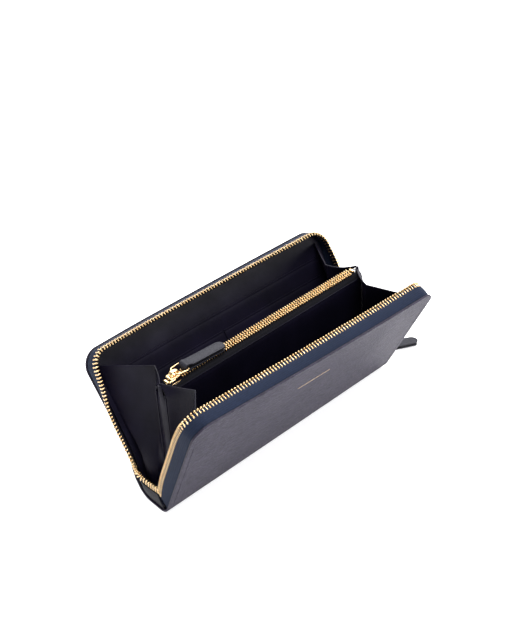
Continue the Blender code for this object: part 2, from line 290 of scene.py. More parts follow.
def grainLeather(name, dark, light, roughness, cell=0.0010, depth=0.00018, strength=0.6):
    # Pebbled grain crossed by fine creases, with slow changes of tone
    made, tree, shader = shaderFor(name, light, roughness)
    place = addNode(tree, "ShaderNodeTexCoord").outputs["Object"]
    wobble = addNode(tree, "ShaderNodeTexNoise", {"Vector": place, "Scale": 0.35 / cell, "Detail": 1.0})
    bent = addNode(tree, "ShaderNodeMix", {"Factor": 0.0012, 4: place, 5: wobble.outputs["Color"]},
                   data_type="VECTOR")
    heights = []
    for turn in (0.72, -0.66):
        along = stretched(tree, bent.outputs[1], (0, turn, 0.15), (1.0, 1.0, 2.4))
        cells = addNode(tree, "ShaderNodeTexVoronoi", {"Vector": along, "Scale": 1 / cell},
                        feature="DISTANCE_TO_EDGE")
        heights.append(levels(tree, cells.outputs["Distance"], 0.0, 0.32))
    crossed = maths(tree, "MULTIPLY", heights[0], heights[1])
    fine = noise(tree, place, 3.2 / cell, 3.0)
    streaks = [levels(tree, noise(tree, stretched(tree, bent.outputs[1], (0, turn, 0), (4.5, 1.0, 1.0)),
                                  1.1 / cell, 2.0, 0.6), 0.32, 0.68) for turn in (0.32, -0.5)]
    streak = maths(tree, "ADD", maths(tree, "MULTIPLY", streaks[0], 0.65),
                   maths(tree, "MULTIPLY", streaks[1], 0.35))
    height = maths(tree, "ADD", maths(tree, "ADD", crossed, maths(tree, "MULTIPLY", fine, 0.25)),
                   maths(tree, "MULTIPLY", streak, 0.9))
    slow = noise(tree, place, 26.0, 3.0, 0.6)
    drift = maths(tree, "ADD", maths(tree, "MULTIPLY", slow, 0.25), maths(tree, "MULTIPLY", streak, 0.6))
    tone = maths(tree, "ADD", maths(tree, "MULTIPLY", crossed, 0.15), drift)
    tree.links.new(shades(tree, tone, [(0.15, dark), (0.85, light)]), shader.inputs["Base Color"])
    shader.inputs["Specular IOR Level"].default_value = 0.22
    tree.links.new(levels(tree, maths(tree, "ADD", crossed, slow), 0.1, 1.5, roughness + 0.1,
                          roughness - 0.08), shader.inputs["Roughness"])
    raised(tree, shader, height, strength, depth)
    return made


def smoothLeather(name, dark, light, roughness):
    # Calf lining: almost flat, with fine pores, faint creases and rubbed patches
    made, tree, shader = shaderFor(name, light, roughness)
    place = addNode(tree, "ShaderNodeTexCoord").outputs["Object"]
    pores = addNode(tree, "ShaderNodeTexVoronoi", {"Vector": place, "Scale": 1900.0}, feature="F1")
    crease = noise(tree, stretched(tree, place, (0.3, 0.2, 0.5), (1.0, 2.9, 1.0)), 420.0, 4.0, 0.6)
    slow = noise(tree, place, 34.0, 4.0, 0.6)
    tree.links.new(shades(tree, slow, [(0.3, dark), (0.7, light)]), shader.inputs["Base Color"])
    tree.links.new(levels(tree, slow, 0.3, 0.7, roughness + 0.06, roughness - 0.06),
                   shader.inputs["Roughness"])
    raised(tree, shader, maths(tree, "ADD", pores.outputs["Distance"], crease), 0.35, 0.00008)
    shader.inputs["Specular IOR Level"].default_value = 0.13
    return made


def wovenTape(name, dark, light, thread):
    # Herringbone weave: columns of slanting threads along the tape, turned about from one to the next
    made, tree, shader = shaderFor(name, light, 0.82)
    place = addNode(tree, "ShaderNodeUVMap", uv_map="UVMap").outputs["UV"]
    split = addNode(tree, "ShaderNodeSeparateXYZ", {"Vector": place})
    across = maths(tree, "PINGPONG", split.outputs["Y"], 1.1)
    slant = maths(tree, "ADD", split.outputs["X"], maths(tree, "MULTIPLY", across, 1.2))
    wave = maths(tree, "SINE", maths(tree, "MULTIPLY", slant, 2 * pi / thread))
    rib = maths(tree, "SINE", maths(tree, "MULTIPLY", split.outputs["Y"], 2 * pi / 1.1))
    body = addNode(tree, "ShaderNodeTexCoord").outputs["Object"]
    fuzz = noise(tree, body, 1500.0, 3.0, 0.75)
    slow = noise(tree, body, 60.0, 2.0)
    weave = maths(tree, "ADD", maths(tree, "MULTIPLY", wave, 0.35), maths(tree, "MULTIPLY", rib, 0.12))
    height = maths(tree, "ADD", weave, maths(tree, "MULTIPLY", fuzz, 0.8))
    tone = maths(tree, "ADD", levels(tree, height, 0.0, 0.85), maths(tree, "MULTIPLY", slow, 0.2))
    tree.links.new(shades(tree, tone, [(0.2, dark), (1.0, light)]), shader.inputs["Base Color"])
    raised(tree, shader, height, 0.5, 0.00022)
    shader.inputs["Specular IOR Level"].default_value = 0.2
    return made


def plainCloth(name, dark, light):
    made, tree, shader = shaderFor(name, light, 0.9)
    place = addNode(tree, "ShaderNodeTexCoord").outputs["Object"]
    split = addNode(tree, "ShaderNodeSeparateXYZ", {"Vector": place})
    threads = [maths(tree, "SINE", maths(tree, "MULTIPLY", split.outputs[axis], 9000.0)) for axis in "XZ"]
    weave = maths(tree, "MULTIPLY", threads[0], threads[1])
    slow = noise(tree, place, 90.0, 3.0)
    tree.links.new(shades(tree, slow, [(0.3, dark), (0.7, light)]), shader.inputs["Base Color"])
    raised(tree, shader, weave, 0.4, 0.0001)
    return made


def platedMetal(name, deep, pale, roughness):
    # Polished plating, with deeper colour in the hollows and faint rubbing
    made, tree, shader = shaderFor(name, pale, roughness, 1.0)
    place = addNode(tree, "ShaderNodeTexCoord").outputs["Object"]
    slow = noise(tree, place, 700.0, 3.0)
    scratch = noise(tree, stretched(tree, place, (0, 0, 0.6), (1.0, 8.0, 1.0)), 5200.0, 2.0)
    tree.links.new(shades(tree, slow, [(0.3, deep), (0.6, pale)]), shader.inputs["Base Color"])
    tree.links.new(levels(tree, scratch, 0.3, 0.7, roughness - 0.05, roughness + 0.1),
                   shader.inputs["Roughness"])
    raised(tree, shader, scratch, 0.12, 0.00003)
    return made


outerLeather = grainLeather("outerLeather", (0.012, 0.010, 0.020), (0.045, 0.038, 0.068), 0.55,
                            0.0013, 0.0003, 0.7)
# Very dark leather for the zip-end tabs; also painted shade on the dark tube in the leather-to-tape gap and
# on the patch over the back tape.
darkLeatherAndShade = smoothLeather("darkLeatherAndShade", (0.004, 0.0035, 0.007), (0.009, 0.008, 0.014), 0.5)
liningLeather = smoothLeather("liningLeather", (0.0040, 0.0034, 0.0085), (0.0095, 0.008, 0.020), 0.44)
tabLeather = grainLeather("tabLeather", (0.012, 0.012, 0.018), (0.030, 0.030, 0.042), 0.5, 0.0007, 0.0001)
pocketCloth = plainCloth("pocketCloth", (0.006, 0.006, 0.009), (0.012, 0.012, 0.018))
navyTape = wovenTape("navyTape", (0.001, 0.003, 0.008), (0.019, 0.030, 0.070), 0.8)
blackTape = wovenTape("blackTape", (0.003, 0.003, 0.005), (0.010, 0.010, 0.016), 0.8)
paleGold = platedMetal("paleGold", (0.72, 0.42, 0.17), (0.98, 0.74, 0.42), 0.24)
darkThread = plainCloth("darkThread", (0.004, 0.004, 0.007), (0.014, 0.014, 0.022))
print("materials ready")


# Outer leather: each half is one hide from the middle of the spine up to the edge of its cover.

skin = {"thickness": 1.0, "rim": 0.32, "creaseIn": 3.4, "creaseDepth": 0.5, "bend": (-0.4, 5.0)}


def rounded(u, v, half, height, radius):
    # Draws a square corner of the grid in to a round one, with every ring kept at its own distance in
    a, b = abs(u) - (half - radius), v - (height - radius)
    if a <= 0 or b <= 0:
        return u, v
    reach = max(a, b)
    turn = (pi / 4) * b / a if b <= a else pi / 2 - (pi / 4) * a / b
    sign = 1 if u > 0 else -1
    return sign * (half - radius + reach * cos(turn)), height - radius + reach * sin(turn)


def edgeSteps(half, inner, count, offsets):
    # Grid lines close together near both edges and evenly spaced between them
    outer = [half - o for o in offsets]
    return [-x for x in outer] + spread(-inner, inner, count)[1:-1] + outer[::-1]


def makeSkin(side):
    half, height, radius = wallet["half"], wallet["height"], wallet["cornerRadius"]
    crease = skin["creaseIn"]
    offsets = [0, 0.5, 1.4, crease - 0.7, crease - 0.28, crease, crease + 0.28, crease + 0.8,
               5.4, 7.2, 9.0, 10.6, 12]
    columns = edgeSteps(half, half - 12, 22, offsets)
    top = height - wallet["turnStart"]
    rows = (spread(-2, -1, 2) + spread(-1, 0, 8)[1:] + spread(0, top - 12, 14)[1:-1]
            + [top - o for o in offsets[::-1]])

    def place(u, p):
        u2, v = rounded(u, p + wallet["turnStart"], half, height, radius) if p > 0 else (u, p)
        dip = skin["creaseDepth"] * (1 - ramp(p, 64, 78)) if abs(half - abs(u) - crease) < 0.1 else 0.0
        return foldPoint(side, u2, dip, v - wallet["turnStart"] if p > 0 else p)

    made = gridPiece(f"{side}Skin", columns, rows, place, flip=side == "back")
    thicken(made, skin["thickness"], skin["rim"])
    smooth(made, 50)
    finish(made, outerLeather, None,
           [f"{side}_leather", f"{side}_board"] + (["spine_leather"] if side == "front" else []))
    blendOn(made, side, *skin["bend"])


for side in way:
    makeSkin(side)
print("outer leather ready")


# Linings and pocket panels, each a turned leather sheet in front of the last.

lining = {"inset": 2.3, "face": 3.35, "thickness": 1.9, "spineFace": 2.15}
panels = {"thickness": 0.45, "slipFace": 3.9, "step": 0.6, "slipTop": 70.6, "slipHalf": 88.0, "low": 5.0,
          "cardTops": (59.0, 47.3, 35.6), "cardOuter": 86.0, "cardInner": 0.6, "creaseDepth": 0.14,
          "gape": 0.22}


def makeLining(side):
    half, height = wallet["half"] - lining["inset"], wallet["height"] - lining["inset"]
    radius = wallet["cornerRadius"] - lining["inset"]
    top = height - wallet["turnStart"]
    offsets = [0, 0.7, 1.6, 3.2, 5.2, 7.4, radius]
    columns = edgeSteps(half, half - radius, 22, offsets)
    rows = ([-1.6, -1.3] + spread(-1, 0, 5) + spread(0, top - radius, 12)[1:-1]
            + [top - o for o in offsets[::-1]])

    def place(u, p):
        n = mix(lining["spineFace"], lining["face"], ramp(p, -0.6, 6))
        if p <= 0:
            return foldPoint(side, u, n, p)
        u2, v = rounded(u, p + wallet["turnStart"], half, height, radius)
        return foldPoint(side, u2, n, v - wallet["turnStart"])

    made = gridPiece(f"{side}Lining", columns, rows, place, flip=side == "front")
    thicken(made, lining["thickness"], 0.3)
    smooth(made)
    finish(made, liningLeather, None,
           [f"{side}_lining"] + (["spine_lining"] if side == "front" else []))
    blendOn(made, side, *skin["bend"])


def makePanel(name, side, ends, top, face, node):
    # A turned top edge with a crease line below it. The middle of a pocket's mouth stands a little open.
    low, high = ends
    offsets = [0, 0.35, 1.0, 1.35, 1.7, 3.5]
    columns = ([low, low + 0.4, low + 1.2] + spread(low + 1.2, high - 1.2, 16)[1:-1]
               + [high - 1.2, high - 0.4, high])
    rows = spread(panels["low"], top - 3.5, 7)[:-1] + [top - o for o in offsets[::-1]]

    def place(u, v):
        t = (u - low) / (high - low)
        n = face - (panels["creaseDepth"] if abs(top - v - 1.35) < 0.05 else 0.0)
        n += panels["gape"] * sin(pi * t) * ramp(v, top - 14, top)
        return coverPoint(side, u, n, v)

    made = gridPiece(name, columns, rows, place, flip=side == "front")
    thicken(made, panels["thickness"], 0.16)
    smooth(made)
    finish(made, liningLeather, f"{side}_cover", [node])


def makePanels(side):
    half = panels["slipHalf"]
    makePanel(f"{side}SlipPanel", side, (-half, half), panels["slipTop"], panels["slipFace"],
              f"{side}_slip_panel")
    for row, top in enumerate(panels["cardTops"], start=1):
        face = panels["slipFace"] + panels["step"] * row
        for column, sign in (("left", -1), ("right", 1)):
            ends = sorted((sign * panels["cardInner"], sign * panels["cardOuter"]))
            makePanel(f"{side}Card{column.title()}{row}", side, ends, top, face,
                      f"{side}_card_slot_{column}_{row}")


for side in way:
    makeLining(side)
    makePanels(side)
print("linings and card slots ready")


# Main zip: the tape stands in from the edge of each cover, and its teeth run along the free edge.

mainZip = {"pitch": 2.145, "inset": 1.55, "rowHeight": 10.35, "rootHeight": 1.1, "tapeThick": 0.7,
           "slackDrop": 2.6, "slackFlare": 4.2, "rightFlare": 1.6, "frontRise": 1.5,
           "tapeWidth": 9.0, "tapeBulge": 0.5, "station": 1.5, "shadePatchThick": 1.2,
           "blend": {"front": ((-8.46, 3.08), (-14.75, 5.37)), "back": ((-4.6, 13.6), (11.0, 20.3))}}
meeting = Vector((-93.6, -4.6, 13.6))       # where the two rows come together at the bottom stop
mouth = Vector((93.45, 0.55, 18.4))         # where they part again above the slider


def edgeSpot(side, u, v, out):
    # A row point and its root in the seam; out is the way out of the cover's outline there
    left = ramp(-u, 80, 93)
    height, flare = mainZip["rowHeight"], 0.0
    if side == "back":
        slack = left * (1 - ramp(v, 48, 80))
        height, flare = height - mainZip["slackDrop"] * slack, mainZip["slackFlare"] * slack
        flare += mainZip["rightFlare"] * ramp(u, 80, 93) * (1 - ramp(v, 62, 84))
    else:
        height += mainZip["frontRise"] * left * (1 - ramp(v, 66, 86)) * ramp(v, 8, 24)
    row = coverPoint(side, u + out[0] * flare, height, v + out[1] * flare)
    return row, coverPoint(side, u, mainZip["rootHeight"], v)


def zipSpots(side):
    half, height = wallet["half"] - mainZip["inset"], wallet["height"] - mainZip["inset"]
    radius = wallet["cornerRadius"] - mainZip["inset"]
    sign = way[side]
    spots = []
    if side == "front":
        spots.append((meeting + Vector((0, -0.7, -0.2)), coverPoint(side, -93.2, 2.0, 0.6)))
        spots.append((coverPoint(side, -93.5, 11.0, 12.5), coverPoint(side, -93.4, 2.3, 7.5)))
    else:
        spots.append((meeting + Vector((0, 0.9, 0.2)), Vector((-93.2, -8.5, 2.6))))
        spots.append((Vector((-93.7, 1.6, 12.9)), Vector((-93.2, -2.0, 2.3))))
        spots.append((Vector((-93.9, 7.6, 12.8)), Vector((-93.2, 5.0, 2.5))))
        spots.append((Vector((-94.6, 13.6, 15.2)), coverPoint(side, -93.3, 2.3, 2.5)))
    sides = spread(22, height - radius, 5)
    spots += [edgeSpot(side, -half, v, (-1, 0)) for v in sides]
    turns = [radians(a) for a in (22, 45, 68)]
    spots += [edgeSpot(side, -half + radius - radius * cos(a), height - radius + radius * sin(a),
                       (-cos(a), sin(a))) for a in turns]
    spots += [edgeSpot(side, u, height, (0, 1)) for u in spread(-half + radius, half - radius, 12)]
    spots += [edgeSpot(side, half - radius + radius * cos(a), height - radius + radius * sin(a),
                       (cos(a), sin(a))) for a in turns[::-1]]
    spots += [edgeSpot(side, half, v, (1, 0)) for v in sides[::-1]][:-1]
    for share, v in ((0.35, 12.0), (0.72, 5.0), (1.0, 1.0)):
        row, root = edgeSpot(side, half, mix(34, 20, share), (1, 0))
        drawn = mix(row, mouth + Vector((0, sign * 1.3, -0.6)), share)
        spots.append((drawn, coverPoint(side, 93.3, 2.4, v)))
    return spots


def curved(points, step):
    # Smooth line through the points, and where each small step of it lies
    found = []
    last = len(points) - 1
    for i in range(last):
        a, b, c, d = (points[max(0, min(last, i + k))] for k in (-1, 0, 1, 2))
        for s in range(step):
            t = s / step
            found.append(0.5 * (2 * b + (c - a) * t + (2 * a - 5 * b + 4 * c - d) * t * t
                                + (3 * b - a - 3 * c + d) * t ** 3))
    return found + [points[last]]


def evenly(lines, gap, margin=0.0):
    # The same places along several lines, a gap apart on the first
    run = [0.0]
    for a, b in zip(lines[0], lines[0][1:]):
        run.append(run[-1] + (b - a).length)
    count = int((run[-1] - 2 * margin) / gap)
    found, k = [], 0
    for i in range(count + 1):
        want = margin + (run[-1] - 2 * margin) * i / count
        while k < len(run) - 2 and run[k + 1] < want:
            k += 1
        t = (want - run[k]) / (run[k + 1] - run[k])
        found.append([mix(line[k], line[k + 1], t) for line in lines])
    return found


tooth = {"length": 3.9, "thick": 2.2, "width": 0.92}


def makeTooth(name, size):
    # A cast bar clamped over the tape's edge: full at both ends and drawn in at the waist
    clearSelection()
    bpy.ops.mesh.primitive_plane_add(size=1.0, location=(0, 0, 0))
    made = bpy.context.active_object
    made.name = name
    length = size["length"]
    for vertex in made.data.vertices:
        x, y = vertex.co.x, vertex.co.y
        vertex.co = Vector((x * size["width"] * 0.7, y * size["thick"] * 0.8, -length / 2)) * mm
    pick(made)
    bpy.ops.object.mode_set(mode="EDIT")
    bpy.ops.mesh.select_mode(type="FACE")
    bpy.ops.mesh.select_all(action="SELECT")
    for rise, across, through in ((0.07, 1.4, 1.24), (0.21, 1.0, 1.0), (0.14, 0.68, 0.86), (0.20, 1.0, 1.0),
                                  (0.14, 1.42, 1.16), (0.16, 1.0, 1.0), (0.08, 0.62, 0.74)):
        bpy.ops.mesh.extrude_region_move(TRANSFORM_OT_translate={"value": (0, 0, rise * length * mm)})
        bpy.ops.transform.resize(value=(across, through, 1.0))
    bpy.ops.object.mode_set(mode="OBJECT")
    faceOut(made)
    for face in made.data.polygons:
        face.use_smooth = True
    return made


def placeTeeth(name, model, spots):
    copies = []
    for along, outwards, centre in spots:
        side = along.cross(outwards).normalized()
        turned = Matrix((along, side, outwards)).transposed().to_4x4()
        turned.translation = centre * mm
        copy = model.copy()
        copy.data = model.data.copy()
        copy.data.transform(turned)
        bpy.context.scene.collection.objects.link(copy)
        copies.append(copy)
    return joinAll(name, copies)


def rowFrames(lines):
    frames = []
    for i, (row, root) in enumerate(lines):
        before, after = lines[max(0, i - 1)][0], lines[min(len(lines) - 1, i + 1)][0]
        along = (after - before).normalized()
        outwards = row - root
        outwards = (outwards - along * outwards.dot(along)).normalized()
        frames.append((along, outwards, row))
    return frames


def zipBlend(thing):
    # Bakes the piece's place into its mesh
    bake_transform(thing)


def makeZip(side, model):
    spots = zipSpots(side)
    rows, roots = (curved([s[k] for s in spots], 10) for k in (0, 1))
    places = evenly((rows, roots), mainZip["pitch"])
    teeth = placeTeeth(f"{side}Teeth", model, rowFrames(places))
    finish(teeth, paleGold, None, [f"{side}_chain"])
    gap, width = mainZip["station"], mainZip["tapeWidth"]
    stations = evenly((rows, roots), gap)

    def place(k, t):
        i = int(k / gap + 0.5)
        row, root = stations[i]
        bulge = mainZip["tapeBulge"] * sin(pi * min(1.0, t / width))
        along = (stations[min(len(stations) - 1, i + 1)][0] - stations[max(0, i - 1)][0]).normalized()
        aside = along.cross((row - root).normalized())
        return mix(root, row, t / width) - way[side] * aside * bulge

    columns = [i * gap for i in range(len(stations))]
    tape = gridPiece(f"{side}Tape", columns, [-0.6, 0, 1.0, 2.2, 3.6, 5.0, 6.4, 7.8, 9.2, 9.5], place,
                     flip=side == "front")
    thicken(tape, mainZip["tapeThick"], 0.0)
    smooth(tape, 60)
    finish(tape, navyTape, None, [f"{side}_tape"])
    made = [teeth, tape]
    if side == "back":
        # A dark sheet over the back tape where it crosses the spine: painted shade, standing in for the
        # shadow there.
        end = gridPiece("backTapeShadePatch", columns[:11], [-0.4, 0.6, 2.2, 3.6, 5.0, 6.4, 7.6], place)
        thicken(end, mainZip["shadePatchThick"], 0.15)
        smooth(end, 60)
        finish(end, darkLeatherAndShade)
        made.append(end)
    for thing in made:
        zipBlend(thing)
    return rows, roots


toothModel = makeTooth("toothModel", tooth)
zipLines = {side: makeZip(side, toothModel) for side in way}
print("main zip ready")


# A dark tube along the joint between the leather's edge and the tape is painted shade: it stands in for the
# shadow in that gap.

gapShade = {"radius": 0.45, "inset": 0.85, "height": 1.1, "low": 0.8}
stitch = {"length": 1.5, "radius": 0.16, "gap": 2.4, "along": 0.17, "lift": 0.42, "spare": 6}


def tubeAlong(name, points, radius):
    curve = bpy.data.curves.new(name, "CURVE")
    curve.dimensions = "3D"
    curve.bevel_depth = radius * mm
    curve.bevel_resolution = 2
    curve.use_fill_caps = True
    line = curve.splines.new("POLY")
    line.points.add(len(points) - 1)
    for spot, point in zip(line.points, points):
        spot.co = (*(point * mm), 1.0)
    made = bpy.data.objects.new(name, curve)
    bpy.context.scene.collection.objects.link(made)
    pick(made)
    bpy.ops.object.convert(target="MESH")
    made = bpy.context.active_object
    faceOut(made)
    smooth(made, 60)
    return made


def outlineSpots(side, inset, height, low):
    half, top = wallet["half"] - inset, wallet["height"] - inset
    radius = wallet["cornerRadius"] - inset
    flat = [(-half, v) for v in spread(low, top - radius, 8)]
    flat += [(-half + radius - radius * cos(radians(a)), top - radius + radius * sin(radians(a)))
             for a in spread(0, 90, 8)[1:]]
    flat += [(u, top) for u in spread(-half + radius, 0, 8)[1:]]
    flat += [(-u, v) for u, v in flat[-2::-1]]
    return [coverPoint(side, u, height, v) for u, v in flat]


def makeGapShade(side):
    spots = outlineSpots(side, gapShade["inset"], gapShade["height"], gapShade["low"])
    # Dark tube standing in for the shadow in the gap between leather and tape: painted shade.
    made = tubeAlong(f"{side}Seam", spots, gapShade["radius"])
    finish(made, darkLeatherAndShade)
    blendOn(made, side, *skin["bend"])


def makeStitch(name, length, radius):
    # One short thread, thicker in the middle and sunk at both ends
    clearSelection()
    bpy.ops.mesh.primitive_cylinder_add(vertices=6, radius=radius * mm, depth=length * mm)
    made = bpy.context.active_object
    made.name = name
    pick(made)
    bpy.ops.object.mode_set(mode="EDIT")
    bpy.ops.mesh.select_all(action="DESELECT")
    bpy.ops.object.mode_set(mode="OBJECT")
    for face in made.data.polygons:
        face.select = abs(face.normal.z) > 0.9
    bpy.ops.object.mode_set(mode="EDIT")
    bpy.ops.mesh.select_mode(type="FACE")
    bpy.ops.mesh.inset(thickness=0.4 * radius * mm, depth=0.3 * radius * mm)
    bpy.ops.object.mode_set(mode="OBJECT")
    for face in made.data.polygons:
        face.use_smooth = True
    return made


def stitchRow(name, model, line, gap):
    # Threads laid end to end along a line
    places = evenly((line, line), gap)
    spots = []
    for (a, _), (b, _) in zip(places, places[1:]):
        along = (b - a).normalized()
        side = Vector((0, 0, 1)).cross(along).normalized()
        spots.append((side, along, (a + b) / 2))
    return placeTeeth(name, model, spots)


stitchModel = makeStitch("stitchModel", stitch["length"], stitch["radius"])


def makeTapeStitches(side):
    rows, roots = zipLines[side]
    lifted = []
    for i, (row, root) in enumerate(zip(rows, roots)):
        along = (rows[min(len(rows) - 1, i + 1)] - rows[max(0, i - 1)]).normalized()
        aside = along.cross((row - root).normalized())
        lifted.append(mix(root, row, stitch["along"]) - way[side] * aside * stitch["lift"])
    spare = stitch["spare"]
    made = stitchRow(f"{side}TapeStitches", stitchModel, lifted[spare:-spare], stitch["gap"])
    finish(made, darkThread)
    zipBlend(made)


for side in way:
    makeGapShade(side)
    makeTapeStitches(side)
print("seams ready")


# Gussets: a pleat at each end of each cover, folded in towards the middle.

pleat = {"thickness": 0.55, "coverU": 89.6, "coverFace": 3.75, "coverLow": 3.0, "coverTop": 79.5,
         "foot": (87.5, 6.0, 9.0), "front": (70.0, -13.8, 83.6), "back": (70.5, 21.4, 80.4),
         "pocketX": 80.4, "pocketY": 5.0, "pocketLow": 0.0, "pocketTop": 80.0, "slack": 2.8, "creaseIn": 3.0}


def makeGusset(side, column, sign):
    head, foot = pleat[side], pleat["foot"]

    def place(c, h):
        v = mix(pleat["coverLow"], pleat["coverTop"], h)
        slack = pleat["slack"] * ramp(v, 0, 12) * (1 - ramp(v, 26, 50))
        sewn = coverPoint(side, sign * pleat["coverU"], pleat["coverFace"] + slack, v)
        low = Vector((sign * foot[0], way[side] * foot[1], foot[2]))
        high = Vector((sign * head[0], head[1], head[2]))
        crease = mix(low, high, h) + Vector((-sign * pleat["creaseIn"] * sin(pi * h), 0, 0))
        y = mix(way[side] * pleat["pocketY"], 0.6, ramp(h, 0.93, 1.0))
        pocket = pocketPoint(sign * (pleat["pocketX"] + 0.4 * sin(pi * h)), y,
                             mix(pleat["pocketLow"], pleat["pocketTop"], h))
        if c <= 1:
            spot = mix(sewn, crease, c)
            bow = sin(pi * c) * sin(pi * min(1, h + 0.2))
            spot += Vector((sign * 1.5, way[side] * 0.6, -0.9 * ramp(h, 0.8, 1))) * bow
        else:
            spot = mix(crease, pocket, c - 1)
            spot += Vector((-sign * 0.6, way[side] * -0.5, -1.1 * ramp(h, 0.8, 1))) * sin(pi * (c - 1))
        return spot

    columns = [0, 0.06, 0.2, 0.4, 0.6, 0.8, 0.92, 0.975, 1.0, 1.025, 1.08, 1.2, 1.4, 1.6, 1.8, 1.94, 2.0]
    rows = spread(0, 0.9, 12)[:-1] + [0.9, 0.95, 0.975, 0.99, 1.0]
    made = gridPiece(f"gusset{column.title()}{side.title()}", columns, rows, place,
                     flip=(side == "back") == (sign > 0))
    thicken(made, pleat["thickness"], 0.15)
    smooth(made, 35)
    finish(made, liningLeather, None, [f"gusset_{column}_{side}"])
    tuple(coverPoint(side, 0, 4.2, 44) * mm)
    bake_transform(made)


for side in way:
    for column, sign in (("left", -1), ("right", 1)):
        makeGusset(side, column, sign)
print("gussets ready")


# Coin pocket: two leather walls joined at the base and both ends, and a closed zip along the top.

coin = {"half": 81.0, "y": 4.5, "wall": 0.75, "low": -0.8, "top": 74.0, "tapeTop": 77.3, "pitch": 1.843,
        "first": -66.0, "last": 73.6, "rowHeight": 78.4, "rowY": 1.55, "tapeHalf": 80.4, "stopX": 75.6}
coinTooth = {"length": 3.0, "thick": 1.7, "width": 0.60}


def makeCoinWall(side):
    top, half = coin["top"], coin["half"]
    offsets = [0, 0.3, 0.9, 1.2, 1.5, 3.0]
    columns = ([-half, -half + 0.5, -half + 1.6] + spread(-half + 1.6, half - 1.6, 24)[1:-1]
               + [half - 1.6, half - 0.5, half])
    rows = spread(coin["low"], top - 3.0, 10)[:-1] + [top - o for o in offsets[::-1]]

    def place(x, w):
        belly = 0.5 * (1 - (x / half) ** 2) * sin(pi * min(1.0, max(0.0, w / top)))
        dip = 0.12 if abs(top - w - 1.2) < 0.05 else 0.0
        y = coin["y"] + belly - dip
        return pocketPoint(x, way[side] * y, w)

    made = gridPiece(f"coinWall{side.title()}", columns, rows, place, flip=side == "back")
    thicken(made, coin["wall"], 0.2)
    smooth(made)
    finish(made, liningLeather, "spine", [f"coin_wall_{side}"])


def makeCoinTape(side):
    half = coin["tapeHalf"]

    def place(x, t):
        y = mix(coin["y"] - 0.15, 1.5, t)
        w = mix(coin["top"] - 0.4, coin["tapeTop"] + 0.5, 1 - (1 - t) ** 1.6)
        sag = 0.7 * ramp(abs(x), 74, half) * t
        return pocketPoint(x, way[side] * y, w - sag)

    made = gridPiece(f"coinTape{side.title()}", spread(-half, half, 60), spread(0, 1, 7), place,
                     flip=side == "back")
    for loop in made.data.uv_layers.active.data:
        loop.uv = (loop.uv[0], loop.uv[1] * 4.0)
    thicken(made, 0.5)
    smooth(made, 60)
    finish(made, blackTape, "spine", [f"coin_tape_{side}"])


def makeCoinTeeth():
    model = makeTooth("coinToothModel", coinTooth)
    count = round((coin["last"] - coin["first"]) / coin["pitch"])
    for side in way:
        spots = []
        for i in range(count):
            x = coin["first"] + coin["pitch"] * (i + (0.5 if side == "back" else 0.0))
            centre = pocketPoint(x, way[side] * coin["rowY"], coin["rowHeight"])
            inwards = (pocketPoint(x, 0, coin["rowHeight"]) - centre).normalized()
            spots.append((Vector((1, 0, 0)), inwards, centre))
        made = placeTeeth(f"coinTeeth{side.title()}", model, spots)
        finish(made, paleGold, "spine", [f"coin_chain_{side}"])
    bpy.data.objects.remove(model)


def softBox(name, low, high, place, bevel, segments=3):
    # A block with rounded edges, drawn at its place in the part's own frame
    clearSelection()
    centre = [(a + b) / 2 for a, b in zip(low, high)]
    bpy.ops.mesh.primitive_cube_add(size=1.0, location=(0, 0, 0))
    made = bpy.context.active_object
    made.name = name
    made.data.name = name
    for vertex in made.data.vertices:
        vertex.co = Vector([c + v * (b - a) for c, v, a, b in zip(centre, vertex.co, low, high)])
    edge = made.modifiers.new("edges", "BEVEL")
    edge.width = bevel
    edge.segments = segments
    bakeModifiers(made)
    for vertex in made.data.vertices:
        vertex.co = place(*vertex.co) * mm
    smooth(made, 60)
    return made


def makeCoinEnds():
    for column, sign in (("left", -1), ("right", 1)):
        half, y = coin["half"], coin["y"] - coin["wall"] - 0.05

        def place(t, w):
            out = 1.1 * cos(pi * t / 2)
            pinch = mix(1.0, 0.35, ramp(w, 66, 79))
            return pocketPoint(sign * (half - 0.4 + out), y * t * pinch, w)

        made = gridPiece(f"coinEnd{column.title()}", spread(-1, 1, 8), spread(0.2, 79.0, 16), place,
                         flip=sign < 0)
        thicken(made, 0.7, 0.15)
        smooth(made)
        finish(made, liningLeather, "spine", [f"coin_end_{column}"])
        x = sign * coin["stopX"]
        clasp = softBox(f"coinStop{column.title()}", (x - 0.9, -1.9, 77.3), (x + 0.9, 1.9, 79.4),
                        pocketPoint, 0.5)
        finish(clasp, paleGold, "spine", [f"coin_stop_{column}"])
    end = coin["tapeHalf"]
    base = softBox("coinBase", (-end, -3.6, -0.7), (end, 3.6, 0.1), pocketPoint, 0.3)
    finish(base, pocketCloth, "spine", ["coin_base"])


for side in way:
    makeCoinWall(side)
    makeCoinTape(side)
makeCoinTeeth()
makeCoinEnds()
print("coin pocket ready")


# Sliders, pull rings and leather tabs, made in each slider's own frame and turned into place.

slider = {"half": 4.4, "clear": 1.3, "plate": 0.95, "wide": 3.15, "pivot": 4.0, "wire": 0.5,
          "coinX": -70.0, "mainX": 93.45, "mainUp": 10.5}
ring = {"width": 9.6, "length": 8.5, "torus": 4.0, "squareness": 0.42, "narrow": 0.86}
tab = {"width": 7.0, "neck": 6.2, "length": 29.0, "layer": 0.76, "loop": 1.35, "joined": 4.0, "gap": 0.03,
       "groove": 0.07, "grooveAt": 0.74}
leaning = (Matrix.Translation((0, 0, wallet["hingeRise"]))
           @ Matrix.Rotation(radians(-wallet["pocketLean"]), 4, "X"))
coinFrame = leaning @ Matrix.Translation((slider["coinX"], 0, coin["rowHeight"]))
mainFrame = (leaning @ Matrix.Translation((slider["mainX"], 0, slider["mainUp"]))
             @ Matrix.Rotation(radians(90), 4, "Y"))


def placed(thing, turned):
    thing.data.transform(Matrix.Scale(mm, 4) @ turned)
    return thing


